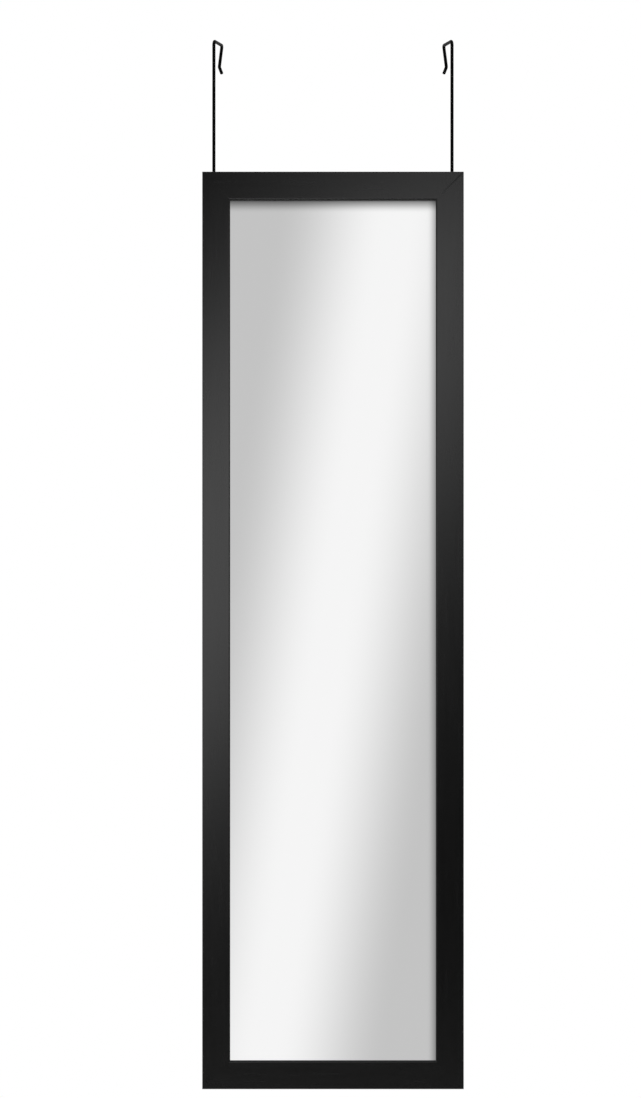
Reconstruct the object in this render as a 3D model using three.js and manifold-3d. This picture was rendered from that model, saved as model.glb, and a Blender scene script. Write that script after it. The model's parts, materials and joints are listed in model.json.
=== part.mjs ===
// An over-the-door mirror: a mitred moulding frame, mirror glass and backing board, hung by two bent wires that
// swivel in saddles screwed to the back of the stiles.
//
// Millimetres. X is to the right as the viewer faces the mirror, -Y is towards the viewer, +Z is up.
// The origin is on the door: Y = 0 is the plane of the door's face, Z = 0 is the top of the door, which the two
// hooks rest on, and X = 0 is the middle of the mirror.

import * as THREE from 'three';
import { mergeVertices } from 'three/addons/utils/BufferGeometryUtils.js';
import Module from 'manifold-3d';

const wasm = await Module();
wasm.setup();

// ---------------------------------------------------------------- driving dimensions

// Running and seating clearances
const SEAT_GAP = 0.3;                 // between two pieces that rest on each other
const WIRE_CLEARANCE = 0.3;           // between a wire and the inside of its saddles
const RABBET_CLEARANCE = 0.9;         // between the edge of the glass and the rabbet wall

// Moulding
const FRAME_WIDTH = 364.6;
const FRAME_HEIGHT = 1279;
const FACE_WIDTH = 38.7;              // outer edge to sight edge
const MOULDING_DEPTH = 19;            // front to back
const LIP_DEPTH = 6.5;                // front face to the shelf that the glass rests against
const OUTER_ROUND = 1.2;              // radius of the outer front edge
const SIGHT_ROUND = 1.6;              // radius of the inner front edge
const BACK_BEVEL = 0.8;               // small bevel along the outer back edge

// Glass and backing
const GLASS_OVERLAP = 8.8;            // how far the lip covers the glass, all round
const GLASS_THICKNESS = 3;
const GLASS_ARRIS = 0.4;              // ground bevel along the edges of the glass
const BOARD_THICKNESS = 3;

// Glazing points, which hold the backing board in
const POINT_THICKNESS = 0.5;
const POINT_WIDTH = 9;
const POINT_DRIVEN = 7;               // length driven into the rabbet wall
const POINT_SHOWING = 8;              // length left over the board
const POINT_TIP = 3;                  // length of the sharpened end
const POINTS_PER_STILE = 4;
const POINTS_PER_RAIL = 2;
const STILE_POINT_MARGIN = 140;       // frame's outer edge to the first point of a stile
const RAIL_POINT_MARGIN = 105;        // frame's outer edge to the first point of a rail

// V-nails, which hold the mitres together
const V_NAIL_THICKNESS = 0.5;
const V_NAIL_LEG = 6.5;
const V_NAIL_DEPTH = 8;
const V_NAIL_INSETS = { outer: 10, inner: 22.5 };   // outer edges to the point of each V

// Hanger wires
const WIRE_DIAMETER = 4.5;
const WIRE_INSET = 15.65;             // frame's side edge to the centre of the wire
const HANGER_RISE = 185.2;            // frame's top edge to the centre of the wire's top run
const HOOK_REACH = 48.1;              // front leg to the far corner, centre to centre
const NECK_REACH = 41.5;              // front leg to the neck that grips the door
const NECK_DROP = 31.2;
const NECK_SET = 2.3;                 // sideways set of the neck, away from the middle of the mirror
const TIP_REACH = 47.8;
const TIP_DROP = 40.1;
const FRONT_BEND_RADIUS = 6;
const BACK_BEND_RADIUS = 3;
const NECK_BEND_RADIUS = 3;
const FOOT_LENGTH = 6.2;              // short foot at the lower end, under the lower saddle
const FOOT_BEND_RADIUS = 3;
const REST_TURN_DEGREES = 12.1;       // how far each hook is turned inwards from straight back

// Saddles
const STRAP_THICKNESS = 1;
const STRAP_WIDTH = 10;
const STRAP_HALF_LENGTH = 12.5;
const SADDLE_HOLE_OFFSET = 8.3;       // wire to screw, centre to centre
const SADDLE_DROPS = { upper: 45, lower: 105 };     // frame's top edge to the middle of each saddle

// Screws
const SCREW_SHANK_DIAMETER = 2.9;
const SCREW_HEAD_DIAMETER = 5.6;
const SCREW_HEAD_HEIGHT = 1.9;
const SCREW_RIM_HEIGHT = 0.7;         // straight edge of the head, below its dome
const SCREW_LENGTH = 12;
const SCREW_TIP_LENGTH = 3;
const SCREW_HOLE_CLEARANCE = 0.3;
const RECESS_WIDTH = 0.8;             // cross recess in the head
const RECESS_LENGTH = 2.8;
const RECESS_DEPTH = 1.1;

// Bumpers
const BUMPER_RADIUS = 6;
const BUMPER_FACE_RADIUS = 3.6;       // flat end that bears on the door
const BUMPER_RIM_HEIGHT = 1.2;
const BUMPER_SIDE_INSET = 40;
const BUMPER_BOTTOM_INSET = 14;

// How finely round things are cut
const WIRE_SIDES = 12;
const BEND_STEPS = 6;
const ROUND_STEPS = 6;
const ARCH_STEPS = 12;
const SCREW_SIDES = 20;
const BUMPER_SIDES = 28;

// ---------------------------------------------------------------- sizes and places that follow

const WIRE_RADIUS = WIRE_DIAMETER / 2;
const BACK_STANDOFF = SEAT_GAP + WIRE_DIAMETER + WIRE_CLEARANCE + STRAP_THICKNESS;
const BUMPER_HEIGHT = BACK_STANDOFF - SEAT_GAP;

const FRAME_BACK_Y = -BACK_STANDOFF;
const FRAME_FRONT_Y = FRAME_BACK_Y - MOULDING_DEPTH;
const WIRE_Y = FRAME_BACK_Y + SEAT_GAP + WIRE_RADIUS;
const WIRE_X = FRAME_WIDTH / 2 - WIRE_INSET;

const HOOK_TOP_Z = WIRE_RADIUS;
const FRAME_TOP_Z = HOOK_TOP_Z - HANGER_RISE;
const FRAME_MIDDLE_Z = FRAME_TOP_Z - FRAME_HEIGHT / 2;

const RABBET_WIDTH = GLASS_OVERLAP + RABBET_CLEARANCE;
const OPENING_WIDTH = FRAME_WIDTH - 2 * FACE_WIDTH;
const OPENING_HEIGHT = FRAME_HEIGHT - 2 * FACE_WIDTH;
const GLASS_WIDTH = OPENING_WIDTH + 2 * GLASS_OVERLAP;
const GLASS_HEIGHT = OPENING_HEIGHT + 2 * GLASS_OVERLAP;
const GLASS_FRONT_Y = FRAME_FRONT_Y + LIP_DEPTH + SEAT_GAP;
const BOARD_FRONT_Y = GLASS_FRONT_Y + GLASS_THICKNESS + SEAT_GAP;
const POINT_BACK_Y = BOARD_FRONT_Y + BOARD_THICKNESS + SEAT_GAP + POINT_THICKNESS;
const RABBET_WALL_INSET = FACE_WIDTH - RABBET_WIDTH;

const SCREW_HOLE_RADIUS = SCREW_SHANK_DIAMETER / 2 + SCREW_HOLE_CLEARANCE;
const SCREW_SEAT_Y = FRAME_BACK_Y + SEAT_GAP + STRAP_THICKNESS + SEAT_GAP;
const LOWER_SADDLE_Z = FRAME_TOP_Z - SADDLE_DROPS.lower;
const FOOT_Z = LOWER_SADDLE_Z - STRAP_WIDTH / 2 - SEAT_GAP - FOOT_BEND_RADIUS;

// ---------------------------------------------------------------- small helpers

const degrees = THREE.MathUtils.degToRad;

function finish(color, roughness, metalness) {
  return new THREE.MeshStandardMaterial({ color, roughness, metalness });
}

// A closed geometry as a solid that can be cut and joined.
function solidOf(geometry) {
  const bare = new THREE.BufferGeometry();
  bare.setAttribute('position', geometry.getAttribute('position').clone());
  if (geometry.index) bare.setIndex(geometry.index.clone());
  const merged = mergeVertices(bare, 1e-4);
  const corners = merged.index.array;
  const kept = [];
  for (let i = 0; i < corners.length; i += 3) {
    const [a, b, c] = corners.slice(i, i + 3);
    if (a !== b && b !== c && c !== a) kept.push(a, b, c);
  }
  return new wasm.Manifold(new wasm.Mesh({
    numProp: 3,
    vertProperties: new Float32Array(merged.getAttribute('position').array),
    triVerts: new Uint32Array(kept),
  }));
}

function geometryOf(solid) {
  const mesh = solid.getMesh();
  const geometry = new THREE.BufferGeometry();
  geometry.setAttribute('position', new THREE.BufferAttribute(new Float32Array(mesh.vertProperties), 3));
  geometry.setIndex(new THREE.BufferAttribute(new Uint32Array(mesh.triVerts), 1));
  geometry.computeVertexNormals();
  return geometry;
}

function cutAway(geometry, cutters) {
  let solid = solidOf(geometry);
  for (const cutter of cutters) solid = solid.subtract(solidOf(cutter));
  return geometryOf(solid);
}

function rectangle(x, z) {
  return [[-x, -z], [x, -z], [x, z], [-x, z]];
}

// An outline drawn in the X-Z plane, made solid from Y = back forwards to Y = back - depth.
function plate(points, depth, back = 0) {
  const shape = new THREE.Shape(points.map(([x, z]) => new THREE.Vector2(x, z)));
  const geometry = new THREE.ExtrudeGeometry(shape, { depth, bevelEnabled: false });
  geometry.rotateX(Math.PI / 2);
  return geometry.translate(0, back, 0);
}

// A profile of [radius, y] points turned about the Y axis. It starts and ends on the axis.
function turned(profile, sides) {
  return new THREE.LatheGeometry(profile.map(([r, y]) => new THREE.Vector2(r, y)), sides);
}

function pieceAt(name, geometry, material, [x, y, z], turnAboutY = 0) {
  const piece = new THREE.Mesh(geometry, material);
  piece.name = name;
  piece.position.set(x, y, z);
  piece.rotation.y = turnAboutY;
  piece.updateMatrix();
  return piece;
}

// ---------------------------------------------------------------- corners and sides of the frame

// Turning about Y carries what is drawn for the top right corner, or for the right side, to the others.
const CORNERS = [
  { name: 'top_right', x: 1, z: 1, turn: 0 },
  { name: 'top_left', x: -1, z: 1, turn: degrees(-90) },
  { name: 'bottom_left', x: -1, z: -1, turn: degrees(180) },
  { name: 'bottom_right', x: 1, z: -1, turn: degrees(90) },
];
const SIDES = {
  right: { x: 1, z: 0, turn: 0 },
  top: { x: 0, z: 1, turn: degrees(-90) },
  left: { x: -1, z: 0, turn: degrees(180) },
  bottom: { x: 0, z: -1, turn: degrees(90) },
};

function evenly(count, span) {
  if (count === 1) return [0];
  return Array.from({ length: count }, (_, i) => span / 2 - (span * i) / (count - 1));
}

// ---------------------------------------------------------------- V-nails

function vOutline(margin) {
  const half = V_NAIL_THICKNESS / 2 + margin;
  const end = V_NAIL_LEG + margin;
  return [[-half, -half], [end, -half], [end, half], [half, half], [half, end], [-half, end]];
}

const vNails = [];
for (const corner of CORNERS) {
  for (const [place, inset] of Object.entries(V_NAIL_INSETS)) {
    const x = corner.x * (FRAME_WIDTH / 2 - inset);
    const z = FRAME_MIDDLE_Z + corner.z * (FRAME_HEIGHT / 2 - inset);
    vNails.push(pieceAt(`${corner.name}_v_nail_${place}`, plate(vOutline(0), V_NAIL_DEPTH),
      finish(0xa9a9a6, 0.4, 1), [x, FRAME_BACK_Y - SEAT_GAP, z], corner.turn));
  }
}

const vSlot = plate(vOutline(SEAT_GAP), V_NAIL_DEPTH + 3 * SEAT_GAP, 2 * SEAT_GAP);

// ---------------------------------------------------------------- glazing points

// Drawn for the right side: the sharpened end points outwards, into the rabbet wall at X = 0.
function pointOutline(margin) {
  const half = POINT_WIDTH / 2 + margin;
  const tip = POINT_DRIVEN + margin;
  const shoulder = POINT_DRIVEN - POINT_TIP;
  const tail = -POINT_SHOWING - margin;
  return [[tail, -half], [shoulder, -half], [tip, -POINT_THICKNESS], [tip, POINT_THICKNESS],
    [shoulder, half], [tail, half]];
}

function glazingPoint(side, number, along) {
  const { x, z, turn } = SIDES[side];
  const reachX = FRAME_WIDTH / 2 - RABBET_WALL_INSET;
  const reachZ = FRAME_HEIGHT / 2 - RABBET_WALL_INSET;
  const place = [
    x * reachX + (x === 0 ? along : 0),
    POINT_BACK_Y,
    FRAME_MIDDLE_Z + z * reachZ + (z === 0 ? along : 0),
  ];
  return pieceAt(`${side}_glazing_point_${number}`, plate(pointOutline(0), POINT_THICKNESS),
    finish(0xb4b3ae, 0.45, 1), place, turn);
}

const glazingPoints = [];
for (const side of ['left', 'right']) {
  evenly(POINTS_PER_STILE, FRAME_HEIGHT - 2 * STILE_POINT_MARGIN)
    .forEach((z, i) => glazingPoints.push(glazingPoint(side, i + 1, z)));
}
for (const side of ['top', 'bottom']) {
  evenly(POINTS_PER_RAIL, FRAME_WIDTH - 2 * RAIL_POINT_MARGIN)
    .forEach((x, i) => glazingPoints.push(glazingPoint(side, i + 1, x)));
}

const pointPocket = plate(pointOutline(SEAT_GAP), POINT_THICKNESS + 2 * SEAT_GAP, SEAT_GAP);

// ---------------------------------------------------------------- hanger wires

// A wire bent at sharp corners with a round bend at each. It is sampled at stations, close together in the bends
// and far apart on the straights, and the sweep takes one section at each station.
class BentWire extends THREE.Curve {
  constructor(corners, bendRadii) {
    super();
    const last = corners.length - 1;
    const heading = (from, to) => to.clone().sub(from).normalize();
    this.stations = [[corners[0], heading(corners[0], corners[1])]];
    for (let i = 1; i < last; i++) {
      const before = heading(corners[i - 1], corners[i]);
      const after = heading(corners[i], corners[i + 1]);
      const bend = before.angleTo(after);
      const trim = bendRadii[i - 1] * Math.tan(bend / 2);
      const start = corners[i].clone().addScaledVector(before, -trim);
      const towardsCentre = after.clone().addScaledVector(before, -Math.cos(bend)).normalize();
      for (let step = 0; step <= BEND_STEPS; step++) {
        const angle = (bend * step) / BEND_STEPS;
        const point = start.clone()
          .addScaledVector(before, bendRadii[i - 1] * Math.sin(angle))
          .addScaledVector(towardsCentre, bendRadii[i - 1] * (1 - Math.cos(angle)));
        const along = before.clone().multiplyScalar(Math.cos(angle))
          .addScaledVector(towardsCentre, Math.sin(angle));
        this.stations.push([point, along]);
      }
    }
    this.stations.push([corners[last], heading(corners[last - 1], corners[last])]);
    this.steps = this.stations.length - 1;
  }

  getPointAt(u) {
    return this.stations[Math.round(u * this.steps)][0].clone();
  }

  getTangentAt(u) {
    return this.stations[Math.round(u * this.steps)][1].clone();
  }
}

// Drawn about its own front leg with the hook straight back. inward is +1 on the left wire and -1 on the right.
function hangerWire(name, inward) {
  const point = (x, y, z) => new THREE.Vector3(x, y, z);
  const route = new BentWire([
    point(-inward * FOOT_LENGTH, 0, FOOT_Z),
    point(0, 0, FOOT_Z),
    point(0, 0, HOOK_TOP_Z),
    point(0, HOOK_REACH, HOOK_TOP_Z),
    point(-inward * NECK_SET, NECK_REACH, HOOK_TOP_Z - NECK_DROP),
    point(0, TIP_REACH, HOOK_TOP_Z - TIP_DROP),
  ], [FOOT_BEND_RADIUS, FRONT_BEND_RADIUS, BACK_BEND_RADIUS, NECK_BEND_RADIUS]);
  const section = new THREE.Shape(evenly(WIRE_SIDES + 1, 2 * Math.PI).slice(1)
    .map((angle) => new THREE.Vector2(WIRE_RADIUS * Math.cos(angle), WIRE_RADIUS * Math.sin(angle))));
  const geometry = new THREE.ExtrudeGeometry(section, { steps: route.steps, extrudePath: route });
  const wire = pieceAt(name, geometry, finish(0x0c0c0d, 0.4, 0.6), [-inward * WIRE_X, WIRE_Y, 0]);
  wire.rotation.z = -inward * degrees(REST_TURN_DEGREES);
  return wire;
}

// ---------------------------------------------------------------- saddles

// Drawn about the wire: two flat feet and a bridge over the wire, cut from strap with round ends.
function saddleGeometry() {
  const bridgeInside = WIRE_RADIUS + WIRE_CLEARANCE;
  const bridgeOutside = bridgeInside + STRAP_THICKNESS;
  const footFront = -WIRE_RADIUS;
  const footBack = footFront + STRAP_THICKNESS;
  const profile = new THREE.Shape();
  profile.moveTo(-STRAP_HALF_LENGTH, footFront);
  profile.lineTo(-bridgeInside, footFront);
  profile.absarc(0, 0, bridgeInside, Math.PI, 0, true);
  profile.lineTo(bridgeInside, footFront);
  profile.lineTo(STRAP_HALF_LENGTH, footFront);
  profile.lineTo(STRAP_HALF_LENGTH, footBack);
  profile.lineTo(bridgeOutside, footBack);
  profile.absarc(0, 0, bridgeOutside, 0, Math.PI, false);
  profile.lineTo(-bridgeOutside, footBack);
  profile.lineTo(-STRAP_HALF_LENGTH, footBack);
  const strap = new THREE.ExtrudeGeometry(profile,
    { depth: STRAP_WIDTH, bevelEnabled: false, curveSegments: ARCH_STEPS });
  strap.translate(0, 0, -STRAP_WIDTH / 2);

  const endRadius = STRAP_WIDTH / 2;
  const plan = new THREE.Shape();
  plan.absarc(STRAP_HALF_LENGTH - endRadius, 0, endRadius, -Math.PI / 2, Math.PI / 2, false);
  plan.absarc(-STRAP_HALF_LENGTH + endRadius, 0, endRadius, Math.PI / 2, Math.PI * 1.5, false);
  const throughAll = 2 * (bridgeOutside + WIRE_RADIUS);
  const blank = new THREE.ExtrudeGeometry(plan,
    { depth: throughAll, bevelEnabled: false, curveSegments: ARCH_STEPS });
  blank.rotateX(Math.PI / 2).translate(0, throughAll / 2, 0);

  let solid = solidOf(strap).intersect(solidOf(blank));
  for (const side of [-1, 1]) {
    const hole = new THREE.CylinderGeometry(SCREW_HOLE_RADIUS, SCREW_HOLE_RADIUS, throughAll, SCREW_SIDES);
    hole.translate(side * SADDLE_HOLE_OFFSET, 0, 0);
    solid = solid.subtract(solidOf(hole));
  }
  return geometryOf(solid);
}

// ---------------------------------------------------------------- screws

// Y = 0 is under the head, the shank points to -Y.
function screwGeometry() {
  const shank = SCREW_SHANK_DIAMETER / 2;
  const head = SCREW_HEAD_DIAMETER / 2;
  const profile = [[0, -SCREW_LENGTH], [shank, -SCREW_LENGTH + SCREW_TIP_LENGTH], [shank, 0], [head, 0]];
  for (let step = 0; step < ROUND_STEPS; step++) {
    const angle = (step / ROUND_STEPS) * (Math.PI / 2);
    const dome = (SCREW_HEAD_HEIGHT - SCREW_RIM_HEIGHT) * Math.sin(angle);
    profile.push([head * Math.cos(angle), SCREW_RIM_HEIGHT + dome]);
  }
  profile.push([0, SCREW_HEAD_HEIGHT]);
  const slot = new THREE.BoxGeometry(RECESS_LENGTH, 2 * RECESS_DEPTH, RECESS_WIDTH);
  slot.translate(0, SCREW_HEAD_HEIGHT, 0);
  return cutAway(turned(profile, SCREW_SIDES), [slot, slot.clone().rotateY(Math.PI / 2)]);
}

function pilotHole() {
  const depth = SCREW_LENGTH + SEAT_GAP;
  const hole = new THREE.CylinderGeometry(SCREW_HOLE_RADIUS, SCREW_HOLE_RADIUS, depth, SCREW_SIDES);
  return hole.translate(0, -depth / 2, 0);
}

// ---------------------------------------------------------------- wires, saddles and screws in place

const hangers = [];
const saddles = [];
const screws = [];
for (const [side, inward] of [['left', 1], ['right', -1]]) {
  const wireX = -inward * WIRE_X;
  hangers.push(hangerWire(`${side}_hanger_wire`, inward));
  for (const [level, drop] of Object.entries(SADDLE_DROPS)) {
    const z = FRAME_TOP_Z - drop;
    saddles.push(pieceAt(`${side}_${level}_saddle`, saddleGeometry(), finish(0xbfc0bd, 0.35, 1),
      [wireX, WIRE_Y, z]));
    for (const [place, away] of [['outer', -inward], ['inner', inward]]) {
      screws.push(pieceAt(`${side}_${level}_screw_${place}`, screwGeometry(), finish(0xc4c4c0, 0.3, 1),
        [wireX + away * SADDLE_HOLE_OFFSET, SCREW_SEAT_Y, z]));
    }
  }
}

// ---------------------------------------------------------------- moulding

// The section across the moulding: X is the depth from the front face, Y is minus the distance from the outer edge.
function mouldingSection() {
  const wall = FACE_WIDTH - RABBET_WIDTH;
  const section = new THREE.Shape();
  section.moveTo(MOULDING_DEPTH, -BACK_BEVEL);
  section.lineTo(MOULDING_DEPTH - BACK_BEVEL, 0);
  section.lineTo(OUTER_ROUND, 0);
  section.absarc(OUTER_ROUND, -OUTER_ROUND, OUTER_ROUND, Math.PI / 2, Math.PI, false);
  section.lineTo(0, -FACE_WIDTH + SIGHT_ROUND);
  section.absarc(SIGHT_ROUND, -FACE_WIDTH + SIGHT_ROUND, SIGHT_ROUND, Math.PI, Math.PI * 1.5, false);
  section.lineTo(LIP_DEPTH, -FACE_WIDTH);
  section.lineTo(LIP_DEPTH, -wall);
  section.lineTo(MOULDING_DEPTH, -wall);
  return section;
}

// A length of moulding with its outer edge up, at Z = 0, and its ends cut back at 45 degrees.
function mitredLength(length) {
  const geometry = new THREE.ExtrudeGeometry(mouldingSection(),
    { depth: length, bevelEnabled: false, curveSegments: ROUND_STEPS });
  const across = new THREE.Matrix4().makeBasis(
    new THREE.Vector3(0, 1, 0), new THREE.Vector3(0, 0, 1), new THREE.Vector3(1, 0, 0));
  geometry.applyMatrix4(across).translate(-length / 2, 0, 0);
  const mitreGap = (SEAT_GAP / 2) * Math.SQRT2;
  const position = geometry.getAttribute('position');
  for (let i = 0; i < position.count; i++) {
    const cutBack = mitreGap - position.getZ(i);
    position.setX(i, position.getX(i) - Math.sign(position.getX(i)) * cutBack);
  }
  return geometry;
}

// What is driven into the moulding from behind, each with the hollow that it leaves.
const driven = [
  ...vNails.map((nail) => [nail, vSlot]),
  ...glazingPoints.map((point) => [point, pointPocket]),
  ...screws.map((screw) => [screw, pilotHole()]),
];

function mouldingPiece(name, length, place, turn) {
  const piece = pieceAt(name, mitredLength(length), finish(0x1b1b1c, 0.42, 0), place, turn);
  const toPiece = piece.matrix.clone().invert();
  const hollows = driven.map(([part, hollow]) =>
    hollow.clone().applyMatrix4(part.matrix).applyMatrix4(toPiece));
  piece.geometry = cutAway(piece.geometry, hollows);
  return piece;
}

const frame = [
  mouldingPiece('top_rail', FRAME_WIDTH, [0, FRAME_FRONT_Y, FRAME_TOP_Z], 0),
  mouldingPiece('bottom_rail', FRAME_WIDTH, [0, FRAME_FRONT_Y, FRAME_TOP_Z - FRAME_HEIGHT], Math.PI),
  mouldingPiece('left_stile', FRAME_HEIGHT, [-FRAME_WIDTH / 2, FRAME_FRONT_Y, FRAME_MIDDLE_Z], -Math.PI / 2),
  mouldingPiece('right_stile', FRAME_HEIGHT, [FRAME_WIDTH / 2, FRAME_FRONT_Y, FRAME_MIDDLE_Z], Math.PI / 2),
];

// ---------------------------------------------------------------- glass and backing board

// A pane with its front at Y = 0 and ground edges.
function pane(width, height, thickness, arris) {
  const face = rectangle(width / 2 - arris, height / 2 - arris);
  const outline = new THREE.Shape(face.map(([x, z]) => new THREE.Vector2(x, z)));
  const geometry = new THREE.ExtrudeGeometry(outline, {
    depth: thickness - 2 * arris,
    bevelThickness: arris,
    bevelSize: arris,
    bevelSegments: 1,
  });
  return geometry.rotateX(Math.PI / 2).translate(0, thickness - arris, 0);
}

const glass = pieceAt('mirror_glass', pane(GLASS_WIDTH, GLASS_HEIGHT, GLASS_THICKNESS, GLASS_ARRIS),
  finish(0xdfe3e2, 0.02, 1), [0, GLASS_FRONT_Y, FRAME_MIDDLE_Z]);
const boardOutline = rectangle(GLASS_WIDTH / 2, GLASS_HEIGHT / 2);
const board = pieceAt('backing_board', plate(boardOutline, BOARD_THICKNESS, BOARD_THICKNESS),
  finish(0x7a5a3c, 0.8, 0), [0, BOARD_FRONT_Y, FRAME_MIDDLE_Z]);

// ---------------------------------------------------------------- bumpers

// Y = 0 is the glued face, and the flat end is BUMPER_HEIGHT behind it.
function bumperGeometry() {
  const profile = [[0, 0], [BUMPER_RADIUS, 0], [BUMPER_RADIUS, BUMPER_RIM_HEIGHT]];
  for (let step = 1; step <= ROUND_STEPS; step++) {
    const angle = (step / ROUND_STEPS) * (Math.PI / 2);
    profile.push([
      BUMPER_FACE_RADIUS + (BUMPER_RADIUS - BUMPER_FACE_RADIUS) * Math.cos(angle),
      BUMPER_RIM_HEIGHT + (BUMPER_HEIGHT - BUMPER_RIM_HEIGHT) * Math.sin(angle),
    ]);
  }
  profile.push([0, BUMPER_HEIGHT]);
  return turned(profile, BUMPER_SIDES);
}

const bumpers = [['left', -1], ['right', 1]].map(([side, x]) =>
  pieceAt(`${side}_bumper`, bumperGeometry(), finish(0x151515, 0.85, 0), [
    x * (FRAME_WIDTH / 2 - BUMPER_SIDE_INSET),
    FRAME_BACK_Y + SEAT_GAP,
    FRAME_TOP_Z - FRAME_HEIGHT + BUMPER_BOTTOM_INSET,
  ]));

// ---------------------------------------------------------------- the mirror

const mirror = new THREE.Group();
mirror.name = 'over_the_door_mirror';
mirror.add(...frame, glass, board, ...vNails, ...glazingPoints, ...saddles, ...screws, ...bumpers, ...hangers);

export default mirror;
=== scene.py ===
# %% [markdown]
# # Dressing an over-the-door mirror
#
# The construction is finished before this lesson starts: a mitred black frame, a sheet of mirror glass with
# its backing board, and two bent wires that hang the lot on a door. It arrives as a fixed frame of named
# pieces in metres, with Z up, the door's face at Y = 0, the door's top edge at Z = 0 and the viewer on the
# -Y side.
#
# We never move or resize those pieces. We give each one its finish, and where a plain solid is too coarse
# (wires, saddles, screws, bumpers) we model a finer piece that stands in exactly the same place.

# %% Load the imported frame
import json
import math

import bmesh
import bpy
from mathutils import Matrix, Vector


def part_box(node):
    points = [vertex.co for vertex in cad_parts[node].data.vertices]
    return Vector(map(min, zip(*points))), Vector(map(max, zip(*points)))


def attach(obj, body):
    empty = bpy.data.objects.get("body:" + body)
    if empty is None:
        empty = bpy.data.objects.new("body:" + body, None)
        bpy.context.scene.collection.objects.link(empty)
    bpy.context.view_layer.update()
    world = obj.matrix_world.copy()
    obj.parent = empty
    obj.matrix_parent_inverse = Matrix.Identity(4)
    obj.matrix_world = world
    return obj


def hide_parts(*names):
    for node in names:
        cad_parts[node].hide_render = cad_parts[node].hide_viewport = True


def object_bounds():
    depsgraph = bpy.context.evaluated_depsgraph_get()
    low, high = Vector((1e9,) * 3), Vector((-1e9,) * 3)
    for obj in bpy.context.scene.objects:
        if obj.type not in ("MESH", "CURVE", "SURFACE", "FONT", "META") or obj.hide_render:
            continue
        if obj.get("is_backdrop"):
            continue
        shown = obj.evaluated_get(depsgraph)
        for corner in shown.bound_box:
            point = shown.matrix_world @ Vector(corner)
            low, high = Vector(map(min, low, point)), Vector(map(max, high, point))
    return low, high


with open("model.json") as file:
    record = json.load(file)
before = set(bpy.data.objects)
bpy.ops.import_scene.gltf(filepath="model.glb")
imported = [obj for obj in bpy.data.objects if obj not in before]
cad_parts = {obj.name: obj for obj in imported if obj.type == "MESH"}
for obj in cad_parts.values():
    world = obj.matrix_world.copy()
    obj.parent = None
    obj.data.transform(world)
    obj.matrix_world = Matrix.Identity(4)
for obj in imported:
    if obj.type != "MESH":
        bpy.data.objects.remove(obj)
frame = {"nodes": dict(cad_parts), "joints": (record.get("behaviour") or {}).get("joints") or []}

cad_low, cad_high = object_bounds()
print("the frame's box in metres:", [round(v, 4) for v in cad_high - cad_low])

# %% [markdown]
# ## Units, colours and nodes
#
# The drawing sizes of such an object are millimetres and Blender's are metres, so one value converts them.
# Colours are picked as sRGB hex, which is how they look on a screen, but shaders add light together and
# need linear numbers. And because a material is a little network, one function that adds a node with its
# settings and its links keeps every material readable from top to bottom.

# %% Helpers for units, colours and nodes
MM = 0.001


def linear(colour):
    """A colour written as sRGB hex, as the linear red, green, blue and alpha that a shader takes."""
    channels = [int(colour[i:i + 2], 16) / 255 for i in (1, 3, 5)]
    return [c / 12.92 if c <= 0.04045 else ((c + 0.055) / 1.055) ** 2.4 for c in channels] + [1.0]


def add(tree, kind, inputs=None, **settings):
    """Adds a node. Settings are its own options, and each input gets a value or another node's output."""
    node = tree.nodes.new("ShaderNode" + kind)
    for name, value in settings.items():
        setattr(node, name, value)
    for name, value in (inputs or {}).items():
        if isinstance(value, bpy.types.NodeSocket):
            tree.links.new(value, node.inputs[name])
        else:
            node.inputs[name].default_value = value
    return node


def per_metre(x, y, z):
    """How often a pattern repeats in a metre along each axis, if one repeat is x by y by z millimetres."""
    return (1 / (x * MM), 1 / (y * MM), 1 / (z * MM))


def empty_material(name):
    """A material whose node tree is still empty, and that tree."""
    material = bpy.data.materials.new(name)
    material.use_nodes = True
    material.node_tree.nodes.clear()
    return material, material.node_tree


def new_finish(name, **constants):
    """A material with one Principled shader. What is the same all over is set on the shader's own sockets."""
    material, tree = empty_material(name)
    shader = add(tree, "BsdfPrincipled", {key.replace("_", " "): value for key, value in constants.items()})
    add(tree, "OutputMaterial", {"Surface": shader.outputs["BSDF"]})
    return material, tree, shader


# A mix has numbered sockets, and 0 is the share of the second thing in it. Two colours go to 6 and 7 and come
# out at 2. Two numbers go to 2 and 3 and come out at 0.
SHARE, FIRST, SECOND, MIXED = 0, 6, 7, 2
FIRST_NUMBER, SECOND_NUMBER = 2, 3

print("the black #090909 is linear", [round(c, 4) for c in linear("#090909")])

# %% [markdown]
# ## The camera
#
# The photograph is a straight frontal product shot: the frame's sides stay parallel, and only the hooks,
# which reach back over the door, show that the lens isn't infinitely far away. The tops of the hooks sink
# by a few pixels between their front and their back bend, and that fixes the distance: about five metres.
# The lens then follows from how large the object appears, and the camera stands opposite the middle of the
# picture, which is a little left of the mirror's middle and a little above it.

# %% Set up the camera
PHOTO_WIDTH, PHOTO_HEIGHT = 641, 1098          # pixels
PIXELS_PER_MM = 0.7175                         # at the front face of the frame
FRAME_CENTRE_PIXEL = (333.0, 630.43)
CAMERA_DISTANCE = 5.0                          # metres, from the front face of the frame

rail_box = {level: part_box(f"{level}_rail") for level in ("top", "bottom")}
stile_box = {side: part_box(f"{side}_stile") for side in ("left", "right")}
face_y = rail_box["top"][0].y
frame_centre_z = (rail_box["top"][1].z + rail_box["bottom"][0].z) / 2
sight_left, sight_right = stile_box["left"][1].x, stile_box["right"][0].x
sight_top, sight_bottom = rail_box["top"][0].z, rail_box["bottom"][1].z
camera_x = (PHOTO_WIDTH / 2 - FRAME_CENTRE_PIXEL[0]) / PIXELS_PER_MM * MM
camera_z = frame_centre_z + (FRAME_CENTRE_PIXEL[1] - PHOTO_HEIGHT / 2) / PIXELS_PER_MM * MM
camera_place = Vector((camera_x, face_y - CAMERA_DISTANCE, camera_z))

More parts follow.
